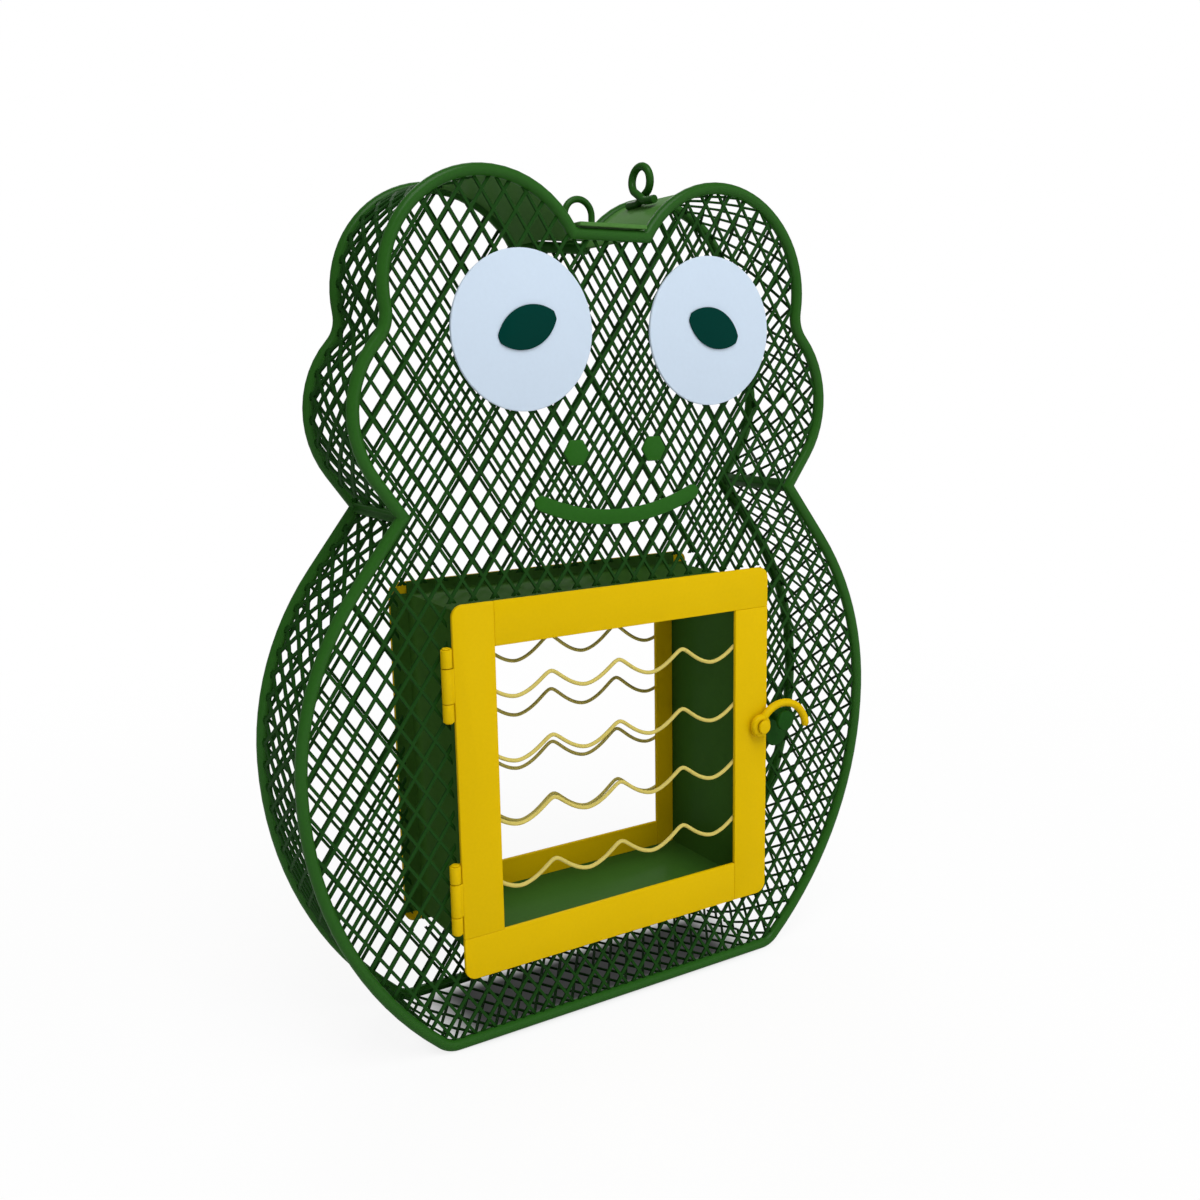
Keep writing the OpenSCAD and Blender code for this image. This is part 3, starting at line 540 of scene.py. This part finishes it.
def coat(name, rgb, roughness=0.45, cloud=0.06, speckle=0.04, bump=0.06, gloss=0.0, clear=0.1):
    """A powder-coated metal finish of one colour."""
    material = bpy.data.materials.new(name)
    material.use_nodes = True
    nodes, links = material.node_tree.nodes, material.node_tree.links
    shader = nodes["Principled BSDF"]
    colour = nodes.new("ShaderNodeGroup")
    colour.node_tree = COAT_COLOUR
    colour.inputs["Colour"].default_value = (*linear(rgb), 1)
    colour.inputs["Cloud Amount"].default_value = cloud
    colour.inputs["Speckle Amount"].default_value = speckle
    links.new(colour.outputs["Colour"], shader.inputs["Base Color"])
    surface = nodes.new("ShaderNodeGroup")
    surface.node_tree = COAT_SURFACE
    surface.inputs["Roughness"].default_value = roughness
    links.new(surface.outputs["Roughness"], shader.inputs["Roughness"])
    relief = nodes.new("ShaderNodeBump")
    relief_depth = 0.4
    relief.inputs["Strength"].default_value = bump
    relief.inputs["Distance"].default_value = relief_depth * MM
    links.new(surface.outputs["Height"], relief.inputs["Height"])
    links.new(relief.outputs["Normal"], shader.inputs["Normal"])
    shader.inputs["Coat Weight"].default_value = clear
    shader.inputs["Coat Roughness"].default_value = 0.25
    shader.inputs["Specular IOR Level"].default_value = gloss
    return material


# Finishes: a material, and the name of the record's slot that it goes with
MESH_GREEN = (
    coat("mesh_green_coat", (24, 62, 17), roughness=0.5, cloud=0.12, speckle=0.05),
    "mesh_green",
)
RIM_GREEN = (
    coat("rim_green_coat", (37, 84, 24), roughness=0.4, cloud=0.08, gloss=0.02, clear=0.14),
    "rim_green",
)
# Lighter copy of the rim green for the flanks and the lid: painted light and sheen where they face the
# light from above
SHEET_GREEN_PAINTED_SHEEN = (
    coat("sheet_green_painted_sheen_coat", (74, 118, 56), roughness=0.55, cloud=0.1, speckle=0.05, clear=0.06),
    "rim_green",
)
FACE_GREEN = (
    coat("face_green_coat", (35, 88, 21), gloss=0.02),
    "face_green",
)
# Darker copy of the face green for the latch catch: painted shade under the hook's arch
CATCH_GREEN_PAINTED_SHADE = (
    coat("catch_painted_shade_coat", (22, 68, 15), clear=0.12),
    "face_green",
)
EYE_WHITE = (
    coat(
        "eye_pale_blue_coat", (196, 211, 227),
        cloud=0.015, speckle=0.01, bump=0.04, gloss=0.05, clear=0.06,
    ),
    "eye_white",
)
PUPIL_TEAL = (
    coat("pupil_teal_coat", (0, 52, 45), cloud=0.05, speckle=0.03, bump=0.04, clear=0.05),
    "pupil_teal",
)
BOX_GREEN = (
    coat("box_green_coat", (55, 94, 33), roughness=0.5, cloud=0.1, clear=0.05),
    "box_green",
)
FRAME_YELLOW = (
    coat(
        "frame_yellow_coat", (212, 176, 4),
        roughness=0.42, cloud=0.04, speckle=0.02, bump=0.05, clear=0.06,
    ),
    "frame_yellow",
)
WIRE_YELLOW = (
    coat(
        "wire_yellow_coat", (198, 182, 96),
        roughness=0.42, cloud=0.04, speckle=0.03, bump=0.04, clear=0.12,
    ),
    "wire_yellow",
)


# Pieces


def make_panel(name, y, node, hinge_notches):
    """Front or back mesh: expanded mesh cut to the outline, with the box's window."""
    low, high = node_box(node)
    sheet = expanded_mesh(name, high.x - low.x + 2 * CELL_W, high.z - low.z + 2 * CELL_H)
    sheet.data.transform(Matrix.Translation(Vector((0, y, (low.z + high.z) / 2)) * MM))
    edge = full_outline(SELVAGE - RIM_R)
    cut(sheet, slab("panel_edge", edge, y - TRIM_REACH, y + TRIM_REACH), "INTERSECT")
    front, back = y - OPENING_REACH, y + OPENING_REACH
    box_low, box_high = node_box("suet_box")
    window = block("window", (box_low.x, front, box_low.z), (box_high.x, back, box_high.z))
    cut(sheet, window, "DIFFERENCE")
    if hinge_notches:
        # Room for the box leaves, which lie flat on the box's left side
        leaf_room, overlap = 1.1, 1
        for leaf in ("upper_hinge_box_leaf", "lower_hinge_box_leaf"):
            leaf_low, leaf_high = node_box(leaf)
            left, right = leaf_high.x - leaf_room, leaf_high.x + overlap
            notch = block("notch", (left, front, leaf_low.z), (right, back, leaf_high.z))
            cut(sheet, notch, "DIFFERENCE")
    round_strands(sheet)
    finish_piece(sheet, name, BODY, MESH_GREEN, node)


def make_wall(name, stretch, side, node):
    """Mesh side wall along one stretch of the outline."""
    path = outline_parts(0, 2)[stretch]
    length = path_length(path)
    depth = BODY_DEPTH - 2 * RIM_R
    sheet = expanded_mesh(name, length + 2 * CELL_W, depth + 2 * CELL_H)
    sheet.data.transform(Matrix.Translation(Vector((length / 2, 0, BODY_DEPTH / 2)) * MM))
    front, back = RIM_R - SELVAGE, BODY_DEPTH - RIM_R + SELVAGE
    edge = block("wall_edge", (0, -TRIM_REACH, front), (length, TRIM_REACH, back))
    cut(sheet, edge, "INTERSECT")
    wrap(sheet, path, side == "left")
    turn_faces_out(sheet)
    round_strands(sheet)
    finish_piece(sheet, name, BODY, MESH_GREEN, node)


def make_floor():
    """Mesh floor between the rims."""
    depth = BODY_DEPTH - 2 * RIM_R
    half = depth / 2 + SELVAGE
    sheet = expanded_mesh("floor_mesh", 2 * CORNER_X + 2 * CELL_W, depth + 2 * CELL_H)
    edge = block("floor_edge", (-CORNER_X, -TRIM_REACH, -half), (CORNER_X, TRIM_REACH, half))
    cut(sheet, edge, "INTERSECT")
    place = Matrix.Translation(Vector((0, BODY_DEPTH / 2, RIM_R)) * MM)
    sheet.data.transform(place @ Matrix.Rotation(math.radians(90), 4, "X"))
    round_strands(sheet)
    finish_piece(sheet, "floor_mesh", BODY, MESH_GREEN, "bottom_mesh")


def make_rim(name, y, node):
    """Round rim wire with sharp mitres at the neck notches and the valley's corners."""
    sides = 16
    angles = [2 * math.pi * k / sides for k in range(sides)]
    section = [(RIM_R * math.cos(a), RIM_R * math.sin(a)) for a in angles]
    rings = [[(x, y + aside, z) for x, z in full_outline(out)] for out, aside in section]
    n = len(rings[0])
    faces = []
    for k in range(sides):
        this, following = k * n, (k + 1) % sides * n
        for i in range(n):
            ahead = (i + 1) % n
            faces.append((this + i, this + ahead, following + ahead, following + i))
    rim = mesh_object(name, [point for ring in rings for point in ring], faces)
    smooth(rim, angle=40)
    finish_piece(rim, name, BODY, RIM_GREEN, node)


def make_flank(side):
    """Plain sheet on the inner flank of an eye bump."""
    path = outline_parts(0, 2)["sheet"]
    length = path_length(path)
    depth = BODY_DEPTH - 2 * RIM_R + SELVAGE
    bpy.ops.mesh.primitive_grid_add(x_subdivisions=32, y_subdivisions=8, size=1)
    sheet = bpy.context.object
    sheet.data.transform(Matrix.Rotation(math.radians(90), 4, "X"))
    sheet.data.transform(Matrix.Diagonal((length * MM, 1, depth * MM, 1)))
    sheet.data.transform(Matrix.Translation(Vector((length / 2, 0, BODY_DEPTH / 2)) * MM))
    wrap(sheet, path, side == "left")
    thicken(sheet, SHEET_T)
    turn_faces_out(sheet)
    smooth(sheet, angle=40)
    finish_piece(sheet, f"flank_{side}", BODY, SHEET_GREEN_PAINTED_SHEEN, f"head_sheet_{side}")


def wave_height(x, pitch, height, shift):
    """Height of a wavy wire over its troughs, as the frame's wires follow it."""
    along = (x - shift) / pitch
    near = abs(along - round(along)) * 2
    full = math.sqrt(1 + PEAK_BLUNT * PEAK_BLUNT) - PEAK_BLUNT
    fall = (math.sqrt(near * near + PEAK_BLUNT * PEAK_BLUNT) - PEAK_BLUNT) / full
    return height * (1 - fall) ** WAVE_FALL


def make_wavy_wire(name, node, body, waves):
    """Wavy wire that lies on the backs of the side bars, and swells a little at its welds."""
    low, high = node_box(node)
    y = (low.y + high.y) / 2
    radius = (high.y - low.y) / 2
    steps = 120
    xs = [low.x + (high.x - low.x) * i / steps for i in range(steps + 1)]
    lowest = min(wave_height(x, *waves) for x in xs)
    points = [(x, y, low.z + radius - lowest + wave_height(x, *waves)) for x in xs]
    weld, swell = 2.5, 0.3
    radii = [1 + swell * max(0, 1 - min(x - low.x, high.x - x) / weld) ** 2 for x in xs]
    piece = wire(name, points, radius, radii)
    finish_piece(piece, name, body, WIRE_YELLOW, node)


def make_hanger():
    """Hanging loop of one bent wire: two feet along the sheet, a crossed neck and a round eye."""
    low, high = node_box("hanger_right")
    radius = (high.x - low.x) / 2
    x, middle = (low.x + high.x) / 2, (low.y + high.y) / 2
    foot_z = low.z + radius
    loop_r = 4.6
    loop_z = high.z - radius - loop_r
    # Half the distance between the wire's two ends where they pass each other
    cross = 1.15
    # One foot's bends up to the loop: how far each lies from the middle, and its height over the
    # foot. The other foot is the same, turned half way round
    start = [(x - cross, low.y + radius, foot_z)]
    for apart, rise in ((5.5, 0), (3.2, 0.3), (1.2, 1.7)):
        start.append((x - cross, middle - apart, foot_z + rise))
    # Angles from the y axis at which the loop's eye starts and ends, and its number of steps
    eye_start, eye_end, steps = -58, 238, 28
    loop = []
    for i, (y, z) in enumerate(arc((middle, loop_z), loop_r, eye_start, eye_end, steps)):
        loop.append((x - cross + 2 * cross * i / steps, y, z))
    end = [(2 * x - px, 2 * middle - py, pz) for px, py, pz in reversed(start)]
    points = smooth_path(start + loop + end, 3)
    piece = wire("hanging_loop", points, radius - 0.15)
    finish_piece(piece, "hanging_loop", BODY, RIM_GREEN, "hanger_right")


def make_pull_ring():
    """Arched pull wire on the lid, with its feet welded down."""
    low, high = node_box("lid_pull_ring")
    radius = (high.y - low.y) / 2
    middle = (low.y + high.y) / 2
    reach = (high.x - low.x) / 2 - radius
    weld, swell = 1.2, 1.6
    arch = arc((0, high.z - radius - reach), reach, 0, 180, 24)
    right_foot = [(reach, low.z), (reach, low.z + weld)]
    left_foot = [(-reach, low.z + weld), (-reach, low.z)]
    points = [(x, middle, z) for x, z in right_foot + arch + left_foot]
    radii = [swell, 1] + [1] * len(arch) + [1, swell]
    piece = wire("lid_pull", points, radius, radii)
    finish_piece(piece, "lid_pull", "lid", RIM_GREEN, "lid_pull_ring")


def make_hook():
    """Latch hook: an eye round the rivet, bent on into the arch and the blunt tip."""
    pivot = next(j for j in frame["joints"] if j["name"] == "latch_pivot")["pos_m"]
    x0, y, z0 = (value / MM for value in pivot)
    low, high = node_box("latch_hook")
    # The wire keeps a little inside the solid
    inside = 0.05
    radius = (high.y - low.y) / 2 - inside
    eye_r = x0 - low.x - radius
    # From the rivet: how far out the arch's top lies, how high it is, and how far the tip drops
    top, rise, drop = 10.7, 7.2, 2.4
    reach = high.x - x0 - radius - inside
    arch_r = ((reach - top) ** 2 + (rise + drop) ** 2) / (2 * (rise + drop))
    centre = (x0 + top, z0 + rise - arch_r)
    apart = math.dist(centre, (x0, z0))
    meet_angle = math.acos((arch_r**2 + apart**2 - eye_r**2) / (2 * arch_r * apart))
    start = direction(centre, (x0, z0)) - math.degrees(meet_angle)
    end = direction(centre, (x0 + reach, z0 - drop))
    arch = arc(centre, arch_r, start, end, 32)
    meet = direction((x0, z0), arch[0])
    # Angle that the eye leaves open on each side of where the arch leaves it
    gap = 8
    path = arc((x0, z0), eye_r, meet + 360 - gap, meet + gap, 30) + arch
    points = [(x, y, z) for x, z in path]
    radii = [1] * len(path)
    way = (Vector(arch[-1]) - Vector(arch[-2])).normalized()
    # The blunt tip: how far past the arch, and the share of the wire's radius there
    for beyond, share in ((0.6, 0.93), (1.1, 0.72), (1.45, 0.4)):
        points.append((arch[-1][0] + way.x * beyond, y, arch[-1][1] + way.y * beyond))
        radii.append(share)
    piece = wire("hook", points, radius, radii)
    finish_piece(piece, "hook", "latch", FRAME_YELLOW, "latch_hook")


def make_refined(node, body, finish, width, segments=3):
    """A copy of a CAD node with its flat faces merged and its edges rounded by so much."""
    source = frame["nodes"][node]
    obj = link(bpy.data.objects.new(node + "_finish", source.data.copy()))
    set_mode("EDIT")
    bpy.ops.mesh.select_all(action="SELECT")
    bpy.ops.mesh.remove_doubles(threshold=0.001 * MM)
    bpy.ops.mesh.dissolve_limited(angle_limit=math.radians(0.5))
    set_mode("OBJECT")
    round_edges(obj, width, segments, angle=40)
    smooth(obj, angle=35)
    finish_piece(obj, node + "_finish", body, finish, node)


# The whole object

make_panel("front_panel", 0, "front_mesh", hinge_notches=True)
make_panel("back_panel", BODY_DEPTH, "back_mesh", hinge_notches=False)
for side in ("left", "right"):
    make_wall(f"head_wall_{side}", "head", side, f"head_band_{side}")
    make_wall(f"belly_wall_{side}", "belly", side, f"body_band_{side}")
    make_flank(side)
    make_refined(f"neck_strip_{side}", BODY, RIM_GREEN, 0.3)
    make_refined(f"eye_{side}", BODY, EYE_WHITE, 0.35)
    make_refined(f"pupil_{side}", BODY, PUPIL_TEAL, 0.2)
    make_refined(f"nostril_{side}", BODY, FACE_GREEN, 0.35)
make_floor()
make_rim("front_rim_wire", 0, "front_rim")
make_rim("back_rim_wire", BODY_DEPTH, "back_rim")
make_refined("mouth", BODY, FACE_GREEN, 0.35)
make_refined("suet_box", BODY, BOX_GREEN, 0.2, 2)
make_refined("lid_plate", "lid", SHEET_GREEN_PAINTED_SHEEN, 0.3)
make_refined("lid_hinge_knuckles", BODY, RIM_GREEN, 0.2)
make_refined("lid_hinge_pin", BODY, RIM_GREEN, 0.2)
make_pull_ring()
make_hanger()
for place in ("left", "top", "right", "bottom"):
    make_refined(f"door_bar_{place}", "door", FRAME_YELLOW, 0.3)
    make_refined(f"back_bar_{place}", BODY, FRAME_YELLOW, 0.3)
for row in range(1, 5):
    make_wavy_wire(f"door_wave_{row}", f"door_wire_{row}", "door", DOOR_WAVES)
    make_wavy_wire(f"back_wave_{row}", f"back_wire_{row}", BODY, BACK_WAVES)
for place in ("upper", "lower"):
    make_refined(f"{place}_hinge_door_leaf", "door", FRAME_YELLOW, 0.25)
    make_refined(f"{place}_hinge_box_leaf", BODY, FRAME_YELLOW, 0.25)
    make_refined(f"{place}_hinge_pin", BODY, FRAME_YELLOW, 0.25)
make_refined("latch_rivet", "door", FRAME_YELLOW, 0.4)
make_refined("latch_catch", BODY, CATCH_GREEN_PAINTED_SHADE, 0.4)
make_hook()


# Stage, light and camera


def painted_foot_shadow(tree, coordinates):
    """Mask of the shadow painted on the ground under the object: 1 in the middle of its foot, 0 past its
    rims.
    """
    parts = tree.nodes.new("ShaderNodeSeparateXYZ")
    tree.links.new(coordinates, parts.inputs[0])
    # Distances from the foot's middle, in metres, between which the painted shadow fades
    fade_along, fade_across = (0.05, 0.078), (0.012, 0.026)
    aside = maths(tree, "ABSOLUTE", parts.outputs["X"])
    along = remap(tree, aside, fade_along, (1, 0), "SMOOTHSTEP")
    from_middle = maths(tree, "SUBTRACT", parts.outputs["Y"], BODY_DEPTH / 2 * MM)
    across = remap(tree, maths(tree, "ABSOLUTE", from_middle), fade_across, (1, 0), "SMOOTHSTEP")
    return maths(tree, "MULTIPLY", along, across)


def make_floor_stage():
    """White floor: the camera sees it glow white, less so near the object, where it shows the shadow,
    with a shadow painted into its colour under the object's foot.
    """
    bpy.ops.mesh.primitive_plane_add(size=6, location=(0, 0, 0))
    floor = bpy.context.object
    floor.name = "stage_floor"
    material = bpy.data.materials.new("stage_white")
    material.use_nodes = True
    tree = material.node_tree
    nodes, links = tree.nodes, tree.links
    coordinates = object_coordinates(tree)
    # Share of the floor's colour and glow that the painted shadow leaves under the middle of the object
    painted_shadow_least = 0.04
    painted_shadow_level = remap(tree, painted_foot_shadow(tree, coordinates), (0, 1), (1, painted_shadow_least))
    floor_white = (0.9, 0.9, 0.9)
    shader = nodes["Principled BSDF"]
    shader.inputs["Roughness"].default_value = 0.9
    shader.inputs["Specular IOR Level"].default_value = 0.1
    # The painted shadow darkens the floor's colour under the object
    links.new(scaled(tree, floor_white, painted_shadow_level), shader.inputs["Base Color"])
    glow = nodes.new("ShaderNodeEmission")
    glow.inputs["Color"].default_value = (1, 1, 1, 1)
    distance = nodes.new("ShaderNodeVectorMath")
    distance.operation = "LENGTH"
    links.new(coordinates, distance.inputs[0])
    # Distances from the origin, in metres, between which the glow grows to full white
    near_and_far, glow_share = (0.15, 0.7), (0.9, 1)
    fade = remap(tree, distance.outputs["Value"], near_and_far, glow_share, "SMOOTHSTEP")
    seen = nodes.new("ShaderNodeLightPath").outputs["Is Camera Ray"]
    lit = maths(tree, "MULTIPLY", fade, painted_shadow_level)
    mix = nodes.new("ShaderNodeMixShader")
    links.new(maths(tree, "MULTIPLY", seen, lit), mix.inputs["Fac"])
    links.new(shader.outputs[0], mix.inputs[1])
    links.new(glow.outputs[0], mix.inputs[2])
    links.new(mix.outputs[0], nodes["Material Output"].inputs["Surface"])
    floor.data.materials.append(material)


def make_world():
    """White for the camera, and a low even light on the object."""
    world = bpy.data.worlds.new("studio")
    bpy.context.scene.world = world
    world.use_nodes = True
    tree = world.node_tree
    background = tree.nodes["Background"]
    background.inputs["Color"].default_value = (1, 1, 1, 1)
    on_object, in_picture = 0.3, 1
    seen = tree.nodes.new("ShaderNodeLightPath").outputs["Is Camera Ray"]
    strength = remap(tree, seen, (0, 1), (on_object, in_picture))
    tree.links.new(strength, background.inputs["Strength"])


def make_lamp(name, location, size, power):
    """A square lamp, in metres and watts, turned towards the body's belly and head."""
    middle = Vector((0, 0, 0.14))
    bpy.ops.object.light_add(type="AREA", location=location)
    lamp = bpy.context.object
    lamp.name = name
    lamp.data.size = size
    lamp.data.energy = power
    aim = middle - Vector(location)
    lamp.rotation_euler = aim.to_track_quat("-Z", "Y").to_euler()


def make_camera():
    """The photo's camera, fitted to its rims, door and box. Angles in degrees, place in millimetres."""
    azimuth, elevation, roll = (math.radians(angle) for angle in (-31.57, 10.81, -0.98))
    place = Vector((-217.4, -343.3, 227.3))
    level = math.cos(elevation)
    back = Vector((math.sin(azimuth) * level, -math.cos(azimuth) * level, math.sin(elevation)))
    data = bpy.data.cameras.new("camera")
    data.sensor_width = 36
    data.lens = 35.58
    data.clip_start = 0.01
    camera = bpy.data.objects.new("camera", data)
    bpy.context.scene.collection.objects.link(camera)
    camera.location = place * MM
    look = (-back).to_track_quat("-Z", "Y").to_matrix()
    camera.rotation_euler = (look @ Matrix.Rotation(roll, 3, "Z")).to_euler()
    bpy.context.scene.camera = camera


make_floor_stage()
make_world()
# The key lamp stands high in front, as the photo's light does
make_lamp("key", (-0.2, -1.0, 1.8), size=1.2, power=29)
make_lamp("fill", (1.0, -1.2, 0.6), size=1.4, power=6)
make_lamp("back", (0.4, 1.3, 1.1), size=1.0, power=8)
make_camera()
bpy.context.scene.view_settings.view_transform = "Standard"
